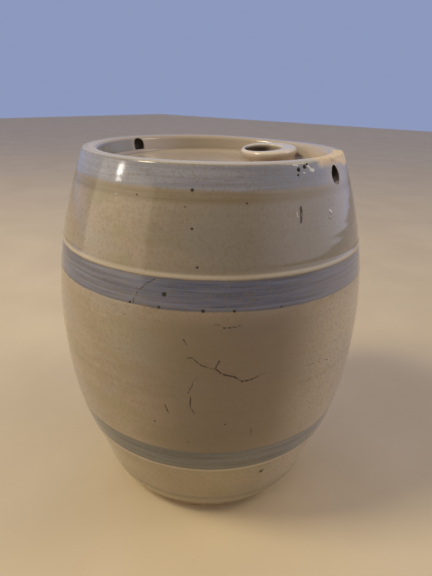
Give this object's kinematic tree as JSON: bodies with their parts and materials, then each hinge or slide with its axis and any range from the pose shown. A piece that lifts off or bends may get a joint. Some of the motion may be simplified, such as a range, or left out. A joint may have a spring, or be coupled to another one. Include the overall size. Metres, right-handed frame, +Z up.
{
  "type": "ceramic keg fermenter",
  "caption": "Closed stoneware barrel keg with a recessed head, an off-centre bung collar, a standing rim pierced for a bail, and blue slip bands.",
  "frame": {"origin": "middle of the footprint, on the plane of the foot ring", "axes": "+Z up along the barrel; +X along the two bail holes, which lie 2 mm to its +Y side; the bung collar stands on the +Y side"},
  "size_m": [0.1986, 0.1986, 0.228],
  "materials": {
    "cream_glaze": "gloss glaze with fine throwing lines, crazing and specks",
    "blue_slip": "brushed slip under gloss glaze",
    "bare_clay": "unglazed matte stoneware"
  },
  "bodies": {
    "root": {"barrel_wall": "cream_glaze", "base_disc": "bare_clay", "head_disc": "cream_glaze", "bung_collar": "cream_glaze", "chime_rim": "cream_glaze", "upper_band": "blue_slip", "middle_band": "blue_slip", "lower_band": "blue_slip"}
  },
  "joints": []
}
